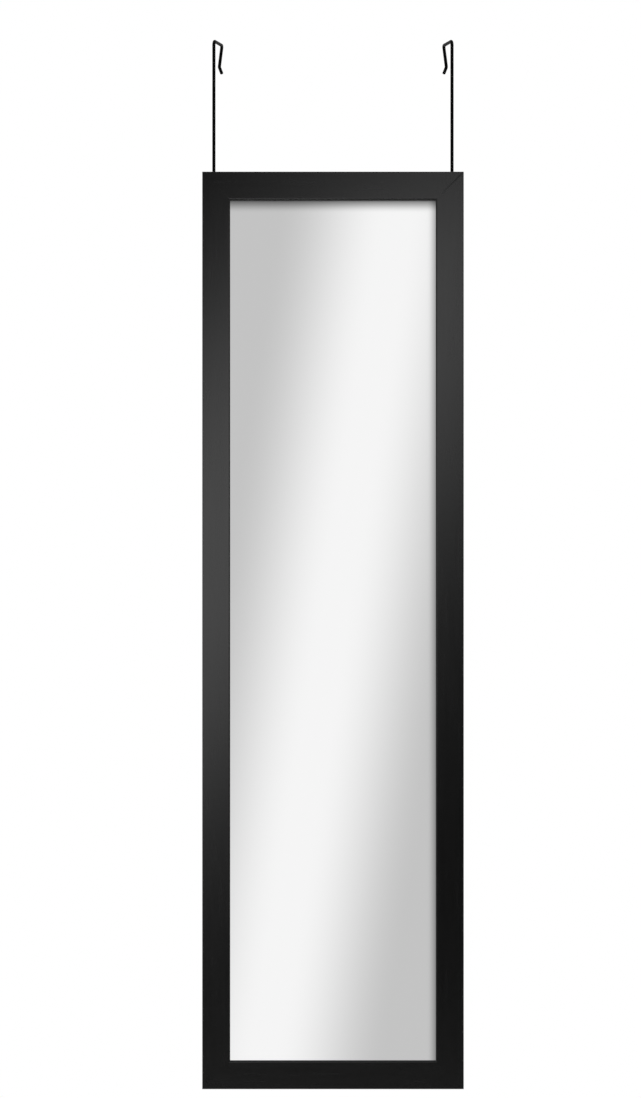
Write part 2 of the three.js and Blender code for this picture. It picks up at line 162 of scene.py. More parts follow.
camera = bpy.data.objects.new("camera", bpy.data.cameras.new("camera"))
camera.location = camera_place
camera.rotation_euler = (math.pi / 2, 0, 0)
camera.data.lens = camera.data.sensor_width * CAMERA_DISTANCE / (PHOTO_HEIGHT / PIXELS_PER_MM * MM)
bpy.context.scene.collection.objects.link(camera)
bpy.context.scene.camera = camera
bpy.context.scene.view_settings.view_transform = "Standard"
print("camera at", [round(v, 3) for v in camera_place], "lens", round(camera.data.lens, 1), "mm")

# %% [markdown]
# ## Finish 1: the black moulding
#
# Such a frame is extruded from polystyrene and wrapped or lacquered in satin black, with a very faint grain
# that runs along each length. To the eye that gives a deep, neutral black that turns to a soft grey sheen
# where a lamp is mirrored, with blurred edges to the sheen and hardly visible streaks in it.
#
# A flat black would look like a hole in the picture. So the colour wanders between two blacks, the
# roughness follows the same streaks by a hair, and a bump carries the pores and the slight orange peel of
# lacquer. The narrow edge that stands on the glass gets hardly any lacquer: it is matt, and so it stays
# black beside the bright glass. In the upper right corner the lacquer has sunk over the joint, which the
# photograph shows as a faint dark line. A duller stripe draws it, along the diagonal where a point is as
# far from the frame's right edge as from its top.
#
# The grain must run along each length, so rails and stiles get one material each.

# %% Make the satin black moulding
POLYSTYRENE_IOR = 1.55                 # typical 1.59, under a lacquer of 1.5
GRAIN_WIDTH, GRAIN_LENGTH = 4.5, 70    # mm, as broad as the streaks that the photograph shows
PORE_WIDTH, PORE_LENGTH = 0.9, 22      # mm, about twice as coarse as real pores, so that they show
PEEL_SIZE = 1.6                        # mm, the ripple of sprayed lacquer
LACQUER_RELIEF = 0.02                  # mm, how deep the pores and how high the ripple are
NOISE_LOW, NOISE_HIGH = 0.3, 0.7       # most values of a noise texture lie between these
SATIN_SMOOTH, SATIN_ROUGH = 0.26, 0.275
MATT_EDGE = 0.6                        # mm of the sight edge's rounding that is matt, like the edge itself
MATT = 0.9
SUNK_BESIDE = 2.4                      # mm, difference of the two insets at the sides of the sunk joint
SUNK_NEAR, SUNK_FAR = 30, 66           # mm, their sum where the joint starts to fade, and where it is gone
SUNK_ROUGHNESS = 0.37


def sunk_joint(tree, position):
    """How far the lacquer has sunk, 0 to 1, from the insets behind the frame's right and top edges."""
    inset_x = add(tree, "Math", {0: stile_box["right"][1].x, 1: position["X"]}, operation="SUBTRACT")
    inset_z = add(tree, "Math", {0: rail_box["top"][1].z, 1: position["Z"]}, operation="SUBTRACT")
    insets = {0: inset_x.outputs[0], 1: inset_z.outputs[0]}
    difference = add(tree, "Math", insets, operation="SUBTRACT").outputs[0]
    beside = add(tree, "Math", {0: difference}, operation="ABSOLUTE").outputs[0]
    inwards = add(tree, "Math", insets, operation="ADD").outputs[0]
    on_diagonal = add(tree, "MapRange", {
        "Value": beside, "From Max": SUNK_BESIDE * MM, "To Min": 1.0, "To Max": 0.0}).outputs[0]
    near_corner = add(tree, "MapRange", {
        "Value": inwards, "From Min": SUNK_NEAR * MM, "From Max": SUNK_FAR * MM,
        "To Min": 1.0, "To Max": 0.0}).outputs[0]
    return add(tree, "Math", {0: on_diagonal, 1: near_corner}, operation="MULTIPLY").outputs[0]


def closer_than(tree, reach, coordinate, middle):
    """1 where a coordinate lies within a reach of the middle, and 0 elsewhere."""
    off_middle = add(tree, "Math", {0: coordinate, 1: middle}, operation="SUBTRACT").outputs[0]
    distance = add(tree, "Math", {0: off_middle}, operation="ABSOLUTE").outputs[0]
    return add(tree, "Math", {0: distance, 1: reach}, operation="LESS_THAN").outputs[0]


def satin_black_moulding(name, along, across, middle, sight):
    """The grain lies along one axis. On the axis across it, both sight edges are that far from the middle."""
    material, tree, shader = new_finish(name, IOR=POLYSTYRENE_IOR)
    place = add(tree, "TexCoord").outputs["Object"]
    position = add(tree, "SeparateXYZ", {0: place}).outputs

    def grain(width, length):
        size = [width, width, width]
        size["xyz".index(along)] = length
        stretched = add(tree, "VectorMath", {0: place, 1: per_metre(*size)}, operation="MULTIPLY")
        return add(tree, "TexNoise", {"Vector": stretched.outputs[0], "Scale": 1.0, "Detail": 3.0}).outputs[0]

    streaks, pores = grain(GRAIN_WIDTH, GRAIN_LENGTH), grain(PORE_WIDTH, PORE_LENGTH)
    peel = grain(PEEL_SIZE, PEEL_SIZE)

    black = add(tree, "Mix", {SHARE: streaks, FIRST: linear("#040404"), SECOND: linear("#090909")},
                data_type="RGBA")
    tree.links.new(black.outputs[MIXED], shader.inputs["Base Color"])

    satin = add(tree, "MapRange", {"Value": streaks, "From Min": NOISE_LOW, "From Max": NOISE_HIGH,
                                   "To Min": SATIN_SMOOTH, "To Max": SATIN_ROUGH}).outputs[0]
    dulled = add(tree, "Mix", {SHARE: sunk_joint(tree, position),
                               FIRST_NUMBER: satin, SECOND_NUMBER: SUNK_ROUGHNESS}).outputs[0]
    matt_edge = closer_than(tree, sight + MATT_EDGE * MM, position[across], middle)
    roughness = add(tree, "Mix", {SHARE: matt_edge, FIRST_NUMBER: dulled, SECOND_NUMBER: MATT}).outputs[0]
    tree.links.new(roughness, shader.inputs["Roughness"])

    relief = {"Distance": LACQUER_RELIEF * MM}
    pitted = add(tree, "Bump", {"Height": pores, "Strength": 0.15, **relief}).outputs[0]
    rippled = add(tree, "Bump", {"Height": peel, "Strength": 0.1, "Normal": pitted, **relief}).outputs[0]
    tree.links.new(rippled, shader.inputs["Normal"])
    return material


half_height, half_width = (sight_top - sight_bottom) / 2, (sight_right - sight_left) / 2
rail_black = satin_black_moulding("satin_black_rail", "x", "Z", frame_centre_z, half_height)
stile_black = satin_black_moulding("satin_black_stile", "z", "X", 0.0, half_width)
print("grain streaks", GRAIN_WIDTH, "x", GRAIN_LENGTH, "mm")

# %% [markdown]
# ## Finish 2: silvered float glass
#
# A mirror is a sheet of float glass with silver and protective paint on its back. What the eye gets is the
# room, dimmed by about a tenth, because the light crosses the glass twice; so thin a sheet shows its green
# only at the edges. The simplest honest way to make that is a metal with almost no roughness on the face.
# The ground edges are frosted green glass and the back is grey-brown paint, and the surface's own normal
# tells the three apart.

# %% Make the silvered glass
SILVER_ROUGHNESS, GROUND_ROUGHNESS = 0.012, 0.55
EDGE_FROST_SIZE = 0.5      # mm, the grit of the ground edge
SQUARELY = 0.9             # how squarely a surface faces forwards or backwards to be the face or the back


def silvered_float_glass():
    material, tree, shader = new_finish("silvered_float_glass")
    coordinates = add(tree, "TexCoord").outputs
    facing = add(tree, "SeparateXYZ", {0: coordinates["Normal"]}).outputs["Y"]
    is_front = add(tree, "Math", {0: facing, 1: -SQUARELY}, operation="LESS_THAN").outputs[0]
    is_back = add(tree, "Math", {0: facing, 1: SQUARELY}, operation="GREATER_THAN").outputs[0]
    frost = add(tree, "TexNoise", {
        "Vector": coordinates["Object"], "Scale": 1 / (EDGE_FROST_SIZE * MM)}).outputs[0]
    edge = add(tree, "Mix", {SHARE: frost, FIRST: linear("#5f7a70"), SECOND: linear("#8fa89e")},
               data_type="RGBA").outputs[MIXED]
    rear = add(tree, "Mix", {SHARE: is_back, FIRST: edge, SECOND: linear("#6f6a62")},
               data_type="RGBA").outputs[MIXED]
    tint = add(tree, "Mix", {SHARE: is_front, FIRST: rear, SECOND: linear("#f4f4f4")},
               data_type="RGBA").outputs[MIXED]
    tree.links.new(tint, shader.inputs["Base Color"])
    tree.links.new(is_front, shader.inputs["Metallic"])
    roughness = add(tree, "MapRange", {
        "Value": is_front, "To Min": GROUND_ROUGHNESS, "To Max": SILVER_ROUGHNESS}).outputs[0]
    tree.links.new(roughness, shader.inputs["Roughness"])
    return material


silvered_glass = silvered_float_glass()
print("the silver's roughness is", SILVER_ROUGHNESS)

# %% [markdown]
# ## Finish 3: brown hardboard
#
# The back is closed with 3 mm hardboard, wood fibres pressed hot until they hold without glue. The eye sees
# a warm brown with darker and lighter clouds, short fibres lying every way, and almost no gloss. Three
# stretched noises, each turned another way, lie like fibres; a broad one makes the clouds.

# %% Make the hardboard
FIBRE_WIDTH, FIBRE_LENGTH = 0.5, 5.5   # mm, about twice as coarse as real fibres, so that they show
FIBRE_TURNS = (0.6, -0.9, 2.0)         # radians
FIBRE_FROM, FIBRE_FULL = 0.55, 0.8     # the noise between which a fibre goes from dark to light
LIGHT_SHARE = 0.45                     # of the lighter brown, in the lightest fibre
CLOUD_SIZE = 55                        # mm


def brown_hardboard():
    material, tree, shader = new_finish("brown_hardboard", IOR=1.45)
    place = add(tree, "TexCoord").outputs["Object"]
    layers = []
    for turn in FIBRE_TURNS:
        turned = add(tree, "VectorRotate", {"Vector": place, "Axis": (0, 1, 0), "Angle": turn}).outputs[0]
        size = per_metre(FIBRE_WIDTH, FIBRE_WIDTH, FIBRE_LENGTH)
        stretched = add(tree, "VectorMath", {0: turned, 1: size}, operation="MULTIPLY").outputs[0]
        layers.append(add(tree, "TexNoise", {"Vector": stretched, "Scale": 1.0, "Detail": 2.0}).outputs[0])
    fibres = layers[0]
    for layer in layers[1:]:
        fibres = add(tree, "Math", {0: fibres, 1: layer}, operation="MAXIMUM").outputs[0]
    clouds = add(tree, "TexNoise", {
        "Vector": place, "Scale": 1 / (CLOUD_SIZE * MM), "Detail": 4.0}).outputs[0]

    ground = add(tree, "Mix", {SHARE: clouds, FIRST: linear("#6d4c30"), SECOND: linear("#8c6844")},
                 data_type="RGBA").outputs[MIXED]
    light_fibre = add(tree, "MapRange", {
        "Value": fibres, "From Min": FIBRE_FROM, "From Max": FIBRE_FULL, "To Max": LIGHT_SHARE}).outputs[0]
    brown = add(tree, "Mix", {SHARE: light_fibre, FIRST: ground, SECOND: linear("#b08a5c")},
                data_type="RGBA").outputs[MIXED]
    tree.links.new(brown, shader.inputs["Base Color"])
    dull = add(tree, "MapRange", {"Value": clouds, "To Min": 0.62, "To Max": 0.8})
    tree.links.new(dull.outputs[0], shader.inputs["Roughness"])
    relief = add(tree, "Bump", {"Height": fibres, "Strength": 0.4, "Distance": 0.08 * MM})
    tree.links.new(relief.outputs[0], shader.inputs["Normal"])
    return material


hardboard = brown_hardboard()
print("hardboard fibres", FIBRE_LENGTH, "mm long")

# %% [markdown]
# ## Finish 4: the small metals
#
# The glazing points and V-nails are bare spring steel, blanked from strip: grey, with fine rolling lines
# and a broken gloss. The saddles and screws are mild steel with bright zinc plate: paler, smoother, with a
# breath of blue and yellow from the passivation. Both are full metals, so their colour is the colour of
# their reflections, and a little life in the roughness is what keeps them from looking like grey plastic.

# %% Make the steel and the zinc plate
ROLLING_SPACING, ROLLING_LENGTH = 0.35, 8     # mm, of the lines left by the rolls, twice as coarse as real
ZINC_PATCH = 6                                # mm, patches of the passivation's colour
ZINC_GRAIN = 0.5                              # mm, the plate's fine crystals


def bare_spring_steel():
    material, tree, shader = new_finish("bare_spring_steel", Metallic=1.0)
    place = add(tree, "TexCoord").outputs["Object"]
    size = per_metre(ROLLING_SPACING, ROLLING_SPACING, ROLLING_LENGTH)
    stretched = add(tree, "VectorMath", {0: place, 1: size}, operation="MULTIPLY").outputs[0]
    lines = add(tree, "TexNoise", {"Vector": stretched, "Scale": 1.0, "Detail": 2.0}).outputs[0]
    grey = add(tree, "Mix", {SHARE: lines, FIRST: linear("#9b9c9a"), SECOND: linear("#c2c2bf")},
               data_type="RGBA")
    tree.links.new(grey.outputs[MIXED], shader.inputs["Base Color"])
    gloss = add(tree, "MapRange", {"Value": lines, "To Min": 0.3, "To Max": 0.5})
    tree.links.new(gloss.outputs[0], shader.inputs["Roughness"])
    relief = add(tree, "Bump", {"Height": lines, "Strength": 0.3, "Distance": 0.01 * MM})
    tree.links.new(relief.outputs[0], shader.inputs["Normal"])
    return material


def bright_zinc_plate():
    material, tree, shader = new_finish("bright_zinc_plate", Metallic=1.0)
    place = add(tree, "TexCoord").outputs["Object"]
    patches = add(tree, "TexNoise", {
        "Vector": place, "Scale": 1 / (ZINC_PATCH * MM), "Detail": 2.0}).outputs[0]
    crystals = add(tree, "TexVoronoi", {"Vector": place, "Scale": 1 / (ZINC_GRAIN * MM)}).outputs["Distance"]
    tone = add(tree, "Mix", {SHARE: patches, FIRST: linear("#c3cad2"), SECOND: linear("#d6d2c2")},
               data_type="RGBA")
    tree.links.new(tone.outputs[MIXED], shader.inputs["Base Color"])
    gloss = add(tree, "MapRange", {"Value": patches, "From Min": NOISE_LOW, "From Max": NOISE_HIGH,
                                   "To Min": 0.22, "To Max": 0.38})
    tree.links.new(gloss.outputs[0], shader.inputs["Roughness"])
    relief = add(tree, "Bump", {"Height": crystals, "Strength": 0.15, "Distance": 0.02 * MM})
    tree.links.new(relief.outputs[0], shader.inputs["Normal"])
    return material


spring_steel = bare_spring_steel()
zinc_plate = bright_zinc_plate()
print("zinc crystals", ZINC_GRAIN, "mm")

# %% [markdown]
# ## Finish 5: powder-coated wire and rubber
#
# The hanger wires are steel with a black powder coat. It is baked on, so it is even and rounded at the
# edges, and its surface has a fine orange peel that breaks up every highlight: seen from a few steps away
# the wire is simply black. The bumpers are moulded rubber, matt and a little greyer, with a fine bloom.

# %% Make the powder coat and the rubber
COAT_PEEL = 0.7          # mm
RUBBER_GRAIN = 0.4       # mm
BLOOM_SIZE = 5           # mm


def black_powder_coat():
    material, tree, shader = new_finish("black_powder_coat", IOR=1.5, Specular_IOR_Level=0.03)
    place = add(tree, "TexCoord").outputs["Object"]
    peel = add(tree, "TexNoise", {"Vector": place, "Scale": 1 / (COAT_PEEL * MM), "Detail": 2.0}).outputs[0]
    black = add(tree, "Mix", {SHARE: peel, FIRST: linear("#040404"), SECOND: linear("#080808")},
                data_type="RGBA")
    tree.links.new(black.outputs[MIXED], shader.inputs["Base Color"])
    gloss = add(tree, "MapRange", {"Value": peel, "To Min": 0.42, "To Max": 0.5})
    tree.links.new(gloss.outputs[0], shader.inputs["Roughness"])
    relief = add(tree, "Bump", {"Height": peel, "Strength": 0.1, "Distance": 0.02 * MM})
    tree.links.new(relief.outputs[0], shader.inputs["Normal"])
    return material


def moulded_rubber():
    material, tree, shader = new_finish("moulded_black_rubber", IOR=1.52, Specular_IOR_Level=0.3)
    place = add(tree, "TexCoord").outputs["Object"]
    bloom = add(tree, "TexNoise", {"Vector": place, "Scale": 1 / (BLOOM_SIZE * MM), "Detail": 3.0}).outputs[0]
    grain = add(tree, "TexNoise", {
        "Vector": place, "Scale": 1 / (RUBBER_GRAIN * MM), "Detail": 2.0}).outputs[0]
    black = add(tree, "Mix", {SHARE: bloom, FIRST: linear("#131313"), SECOND: linear("#222221")},
                data_type="RGBA")
    tree.links.new(black.outputs[MIXED], shader.inputs["Base Color"])
    dull = add(tree, "MapRange", {"Value": bloom, "To Min": 0.7, "To Max": 0.88})
    tree.links.new(dull.outputs[0], shader.inputs["Roughness"])
    relief = add(tree, "Bump", {"Height": grain, "Strength": 0.3, "Distance": 0.05 * MM})
    tree.links.new(relief.outputs[0], shader.inputs["Normal"])
    return material


powder_coat = black_powder_coat()
rubber = moulded_rubber()
print("powder coat peel", COAT_PEEL, "mm")

# %% [markdown]
# ## Giving the construction its finishes
#
# The moulding, glass, board, V-nails and glazing points already have the right shape: straight lengths and
# flat plates. They keep their meshes and only change their material.

# %% Finish the pieces that keep their shape
FINISH_BY_NAME = {
    "_rail": rail_black,
    "_stile": stile_black,
    "mirror_glass": silvered_glass,
    "backing_board": hardboard,
    "_v_nail_": spring_steel,
    "_glazing_point_": spring_steel,
}
finished = 0
for node_name, node in frame["nodes"].items():
    for part_of_name, finish in FINISH_BY_NAME.items():
        if part_of_name in node_name:
            node.material_slots[0].material = finish
            finished += 1
print(finished, "pieces keep their shape and have a new finish")

# %% [markdown]
# ## Helpers for round pieces
#
# Two shapes cover nearly all that is round here. A turned piece is a profile spun about an axis, ring by
# ring. A drawn wire is a small circle carried along a bent line, ring by ring too. Both come down to the
# same task: join a row of rings with quads and close the ends. So that is one function, and the two shapes
# only place the rings.

# %% Join rings into a closed skin
def circle_angles(count):
    return [2 * math.pi * i / count for i in range(count)]


def skin(rings, start, end):
    """A closed mesh through rings of equally many points, with a single point at each end to close it."""
    mesh = bmesh.new()
    rows = [[mesh.verts.new(point) for point in ring] for ring in rings]
    count = len(rings[0])
    for row, following in zip(rows, rows[1:]):
        for i in range(count):
            j = (i + 1) % count
            mesh.faces.new((row[i], row[j], following[j], following[i]))
    for row, tip, flip in ((rows[0], start, True), (rows[-1], end, False)):
        point = mesh.verts.new(tip)
        for i in range(count):
            j = (i + 1) % count
            corners = (row[j], row[i], point) if flip else (row[i], row[j], point)
            mesh.faces.new(corners)
    bmesh.ops.recalc_face_normals(mesh, faces=mesh.faces)
    return mesh


print("a ring of 8 points turns", round(math.degrees(circle_angles(8)[1])), "degrees from point to point")

# %% [markdown]
# ## From a mesh to a dressed piece
#
# A mesh that is still being worked on is a bmesh. Once it is done it becomes an object, gets its finish and
# is told which body it rides on, and the plain solid it takes the place of is hidden. Soft shading hides the
# facets, but an edge sharper than an angle stays an edge.

# %% Turn a mesh into a piece
def object_from(name, mesh):
    """A Blender object from a bmesh, which is used up."""
    data = bpy.data.meshes.new(name)
    mesh.to_mesh(data)
    mesh.free()
    piece = bpy.data.objects.new(name, data)
    bpy.context.scene.collection.objects.link(piece)
    return piece


def make_piece(name, mesh, finish, body, replaces=None, smooth_below=40):
    """A dressed piece that rides on a body, smooth except at edges sharper than an angle in degrees."""
    piece = object_from(name, mesh)
    piece.data.materials.append(finish)
    piece.data.shade_smooth()
    piece.data.set_sharp_from_angle(angle=math.radians(smooth_below))
    if replaces:
        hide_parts(replaces)
    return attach(piece, body)


# %% [markdown]
# ## The filled mitres
#
# The four lengths of the frame are cut at 45 degrees and leave a hair of room where they meet. On the real
# frame glue and lacquer run into it, so that a mitre shows as a faint line and not as a dark gap. We put
# that filling in: a sheet with the outline of the moulding's section, a touch below the surface, standing
# in each mitre. Behind it is room for the V-nails. In the upper right corner it has sunk further in, and
# there the photograph shows the line.

# %% Fill the mitres
LIP_DEPTH = 6.5                        # mm, from the front face to the shelf that the glass rests against
WALL_INSET = 29.0                      # mm, from the outer edge to the wall behind the edge of the glass
OUTER_ROUND, SIGHT_ROUND = 1.2, 1.6    # mm, radii of the moulding's two front edges
ROUND_STEPS = 6
FILL_THICKNESS, FILL_DEPTH = 0.28, 9.5
FLUSH, SUNK = 0.1, 1.0                 # mm below the surface

face_width = (rail_box["top"][1].z - rail_box["top"][0].z) / MM


def fill_outline(set_back):
    """The section moved in by the set-back, as points: distance from the outer edge, depth from the face."""
    quarter = [math.pi / 2 * step / ROUND_STEPS for step in range(ROUND_STEPS + 1)]
    outer, inner = OUTER_ROUND - set_back, SIGHT_ROUND - set_back
    round_middle = face_width - SIGHT_ROUND
    outline = [(set_back, FILL_DEPTH)]
    outline += [(OUTER_ROUND - outer * math.cos(a), OUTER_ROUND - outer * math.sin(a)) for a in quarter]
    outline += [(round_middle + inner * math.sin(a), SIGHT_ROUND - inner * math.cos(a)) for a in quarter]
    outline += [(face_width - set_back, LIP_DEPTH - set_back),
                (WALL_INSET - set_back, LIP_DEPTH - set_back), (WALL_INSET - set_back, FILL_DEPTH)]
    return outline


for level, up in (("top", 1), ("bottom", -1)):
    for side, right in (("left", -1), ("right", 1)):
        # A box is its low corner and its high corner, and True picks the high one.
        corner = Vector((stile_box[side][right > 0].x, face_y, rail_box[level][up > 0].z))
        inwards, backwards = Vector((-right, 0, -up)) * MM, Vector((0, 1, 0)) * MM
        across_mitre = Vector((right, 0, -up)).normalized() * FILL_THICKNESS / 2 * MM
        outline = fill_outline(SUNK if (level, side) == ("top", "right") else FLUSH)
        mesh = bmesh.new()
        sheets = [[mesh.verts.new(corner + inwards * inset + backwards * depth + offset)
                   for inset, depth in outline] for offset in (-across_mitre, across_mitre)]
        mesh.faces.new(sheets[0])
        mesh.faces.new(sheets[1][::-1])
        for i in range(len(outline)):
            j = (i + 1) % len(outline)
            mesh.faces.new((sheets[0][i], sheets[0][j], sheets[1][j], sheets[1][i]))
        bmesh.ops.recalc_face_normals(mesh, faces=mesh.faces)
        fill = make_piece(f"{level}_{side}_mitre_fill", mesh, rail_black, "frame")
print(fill.name, len(fill.data.vertices), "vertices, on a face", round(face_width, 2), "mm wide")

# %% [markdown]
# ## A round wire along a bent line
#
# A wire bender works with straight lengths and round bends, so a wire's centre line is made the same way:
# corner points, and an arc of the bend's radius at each corner. A circle then follows that line, and the
# sawn ends are rounded by the coat.

# %% Follow a bent line with a circle
WIRE_SIDES, BEND_STEPS, END_STEPS = 32, 20, 8
END_ROUNDING = 1.2                     # mm, how far back the rounding of a wire's end starts


def bent_line(corners, radii):
    """Points along a line of straights and arcs, and the direction at each point."""
    stations = [(corners[0], (corners[1] - corners[0]).normalized())]
    for before, corner, after, radius in zip(corners, corners[1:], corners[2:], radii):
        arrive, leave = (corner - before).normalized(), (after - corner).normalized()
        bend = arrive.angle(leave)
        start = corner - arrive * radius * math.tan(bend / 2)
        inward = (leave - arrive * math.cos(bend)).normalized()
        for step in range(BEND_STEPS + 1):
            angle = bend * step / BEND_STEPS
            point = start + arrive * radius * math.sin(angle) + inward * radius * (1 - math.cos(angle))
            stations.append((point, arrive * math.cos(angle) + inward * math.sin(angle)))
    stations.append((corners[-1], (corners[-1] - corners[-2]).normalized()))
    return stations


def drawn_wire(stations, radius):
    """A round wire along a line. Each ring is the last one turned with the line, so the skin never twists."""
    heading = stations[0][1]
    across = heading.orthogonal().normalized()

    def ring(centre, size):
        other = heading.cross(across)
        return [centre + (across * math.cos(a) + other * math.sin(a)) * size
                for a in circle_angles(WIRE_SIDES)]

    def rounded_end(centre, towards):
        quarter = [math.pi / 2 * step / END_STEPS for step in range(END_STEPS)]
        rounding = END_ROUNDING * MM
        inner = radius - rounding
        return [ring(centre + towards * rounding * (math.sin(a) - 1), inner + rounding * math.cos(a))
                for a in quarter]

    rings = rounded_end(stations[0][0], -heading)[::-1]
    for (_, previous), (centre, direction) in zip(stations, stations[1:-1]):
        across = previous.rotation_difference(direction) @ across
        heading = direction
        rings.append(ring(centre, radius))
    rings += rounded_end(stations[-1][0], heading)
    return skin(rings, start=stations[0][0], end=stations[-1][0])


square_bend = bent_line([Vector(place) for place in ((0, 0, 0), (0, 0, 20), (0, 20, 20))], [3])
print("a square bend has", len(square_bend), "stations")

# %% [markdown]
# ## The hanger wires
#
# Each wire is one 4.5 mm rod, bent four times: a foot below the lower saddle, a square bend onto the top of
# the door, a square bend down behind it, and a neck that grips the door, with a short tip that leads it on.
#
# The wire is drawn with its hook straight back and then turned by the rest angle, about the same upright
# line that its joint turns on.

# %% Bend the wires
WIRE_RADIUS = 2.25
HOOK_REACH, NECK_REACH, TIP_REACH = 48.1, 41.5, 47.8
NECK_DROP, TIP_DROP, NECK_SET = 31.2, 40.1, 2.3
FOOT_LENGTH = 6.2
BEND_RADII = (3, 6, 3, 3)              # foot, front of the hook, back of the hook, neck
REST_TURN = math.radians(12.1)

pivots = {joint["child"]: Vector(joint["pos_m"]) for joint in frame["joints"]}
hook_top = cad_high.z - WIRE_RADIUS * MM
for side, inward in (("left", 1), ("right", -1)):
    foot_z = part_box(f"{side}_hanger_wire")[0].z + WIRE_RADIUS * MM
    corners = [
        Vector((-inward * FOOT_LENGTH * MM, 0, foot_z)),
        Vector((0, 0, foot_z)),
        Vector((0, 0, hook_top)),
        Vector((0, HOOK_REACH * MM, hook_top)),
        Vector((-inward * NECK_SET * MM, NECK_REACH * MM, hook_top - NECK_DROP * MM)),
        Vector((0, TIP_REACH * MM, hook_top - TIP_DROP * MM)),
    ]
    mesh = drawn_wire(bent_line(corners, [radius * MM for radius in BEND_RADII]), WIRE_RADIUS * MM)
    turned = Matrix.Rotation(-inward * REST_TURN, 4, "Z")
    mesh.transform(Matrix.Translation(pivots[f"{side}_hanger"]) @ turned)
    wire = make_piece(f"{side}_bent_wire", mesh, powder_coat, f"{side}_hanger",
                      f"{side}_hanger_wire")
    print(wire.name, len(wire.data.vertices), "vertices")

# %% [markdown]
# ## The bend of a saddle
#
# A saddle is stamped from 1 mm strip: a blank with round ends and two holes, then one hit of the press
# bends a bridge over the wire. We do the same, so first we need the bend. The strap's middle line is an
# arch over the wire, two small fillets where the arch meets the feet, and the feet themselves. Because
# bending doesn't stretch the middle of a strip, a distance along the flat blank is the same distance along
# that line.

# %% Bend a flat point onto the saddle
STRAP_THICKNESS, STRAP_WIDTH, STRAP_HALF_LENGTH = 1.0, 10.0, 12.5
WIRE_CLEARANCE = 0.3
FILLET_RADIUS = 1.0                     # mm, to the middle of the strap

arch_radius = WIRE_RADIUS + WIRE_CLEARANCE + STRAP_THICKNESS / 2
foot_y = -WIRE_RADIUS + STRAP_THICKNESS / 2
# A fillet's centre lies over the foot, and its arc touches the arch's circle and the foot's middle line.
fillet_y = foot_y + FILLET_RADIUS
fillet_x = math.sqrt((arch_radius + FILLET_RADIUS) ** 2 - fillet_y ** 2)
arch_angle = math.atan2(fillet_x, fillet_y)
arch_length, fillet_length = arch_radius * arch_angle, FILLET_RADIUS * arch_angle


def bend_onto_saddle(distance, height):
    """Where a point of the blank goes, from its distance along it and its height off the middle line."""
    side = 1 if distance >= 0 else -1
    along = abs(distance)
    if along < arch_length:
        angle = along / arch_radius
        reach = arch_radius + height
        return side * reach * math.sin(angle), reach * math.cos(angle)
    if along < arch_length + fillet_length:
        angle = arch_angle - (along - arch_length) / FILLET_RADIUS
        reach = FILLET_RADIUS - height
        return side * (fillet_x - reach * math.sin(angle)), fillet_y - reach * math.cos(angle)
    return side * (fillet_x + along - arch_length - fillet_length), foot_y + height


def developed(x):
    """The distance along the blank that ends up x from the wire, on a foot."""
    return x - fillet_x + (arch_radius + FILLET_RADIUS) * arch_angle


print("half a saddle is", STRAP_HALF_LENGTH, "mm, and flat", round(developed(STRAP_HALF_LENGTH), 2), "mm")

# %% [markdown]
# ## The flat blank
#
# The blank is drawn as a filled curve, because a curve gives round ends, holes and the small rolled-over
# edge of a stamping from a few settings.

# %% Draw the blank
HOLE_OFFSET, HOLE_RADIUS = 8.3, 1.75
EDGE_BREAK, EDGE_STEPS = 0.14, 2        # mm, the rolled-over edge of a stamping
OUTLINE_STEPS, HOLE_STEPS = 20, 32
JOIN_BELOW = 1e-4                       # mm, points of the blank as close as this are one


def flat_blank():
    """The blank as a bmesh in millimetres: a strip with round ends, two holes and rolled-over edges."""
    half_width = STRAP_WIDTH / 2
    end_centre = developed(STRAP_HALF_LENGTH - half_width)
    outline = []
    for side in (1, -1):
        for step in range(OUTLINE_STEPS + 1):
            angle = -math.pi / 2 + math.pi * step / OUTLINE_STEPS
            reach = end_centre + half_width * math.cos(angle)
            outline.append((side * reach, side * half_width * math.sin(angle)))
    holes = [[(side * developed(HOLE_OFFSET) + HOLE_RADIUS * math.cos(a), HOLE_RADIUS * math.sin(a))
              for a in circle_angles(HOLE_STEPS)] for side in (1, -1)]
    curve = bpy.data.curves.new("saddle_blank", "CURVE")
    curve.dimensions = "2D"
    curve.fill_mode = "BOTH"
    curve.extrude = STRAP_THICKNESS / 2 - EDGE_BREAK
    curve.bevel_depth = EDGE_BREAK
    curve.bevel_resolution = EDGE_STEPS
    curve.offset = -EDGE_BREAK
    for points in (outline, *holes):
        spline = curve.splines.new("POLY")
        spline.points.add(len(points) - 1)
        for point, (x, y) in zip(spline.points, points):
            point.co = (x, y, 0, 1)
        spline.use_cyclic_u = True
    drawing = bpy.data.objects.new("saddle_blank", curve)
    bpy.context.scene.collection.objects.link(drawing)
    data = bpy.data.meshes.new_from_object(drawing.evaluated_get(bpy.context.evaluated_depsgraph_get()))
    bpy.data.objects.remove(drawing)
    mesh = bmesh.new()
    mesh.from_mesh(data)
    bmesh.ops.remove_doubles(mesh, verts=mesh.verts, dist=JOIN_BELOW)
    return mesh


saddle_pattern = flat_blank()
print("the flat blank has", len(saddle_pattern.verts), "vertices")

# %% [markdown]
# ## The saddles
#
# A flat face can't bend, so the blank is cut across at many stations. Then every vertex is carried onto the
# bent middle line, and the four saddles are copies of this one pattern.

# %% Bend the blank and place the saddles
CUT_SPACING = 0.35                      # mm
ON_CUT = 1e-5                           # mm, points as close to a cut as this lie on it

